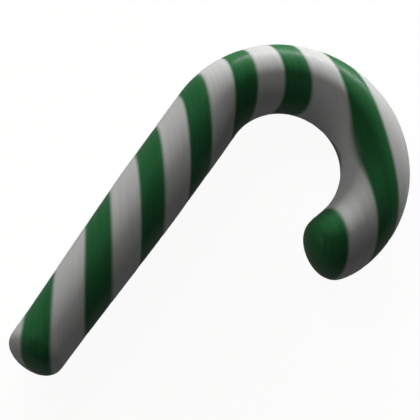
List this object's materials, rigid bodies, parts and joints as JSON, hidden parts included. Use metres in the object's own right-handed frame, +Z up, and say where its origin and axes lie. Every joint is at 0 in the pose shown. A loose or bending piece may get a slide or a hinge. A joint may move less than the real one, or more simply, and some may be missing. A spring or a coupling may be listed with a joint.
{
  "type": "candy cane",
  "caption": "Chunky striped hard-sugar cane: a straight round stem with a hooked end, lying on its side on a narrow flat.",
  "frame": {"origin": "middle of the cane's box, on the surface that it lies on", "axes": "+Y along the stem towards the hook, +X to the side that the hook curls over, +Z up through the shown side"},
  "size_m": [0.0726, 0.1272, 0.0199],
  "materials": {
    "pulled_sugar": "glossy pulled sugar, white with green twisted stripes"
  },
  "bodies": {
    "root": {"candy_cane": "pulled_sugar"}
  },
  "joints": []
}
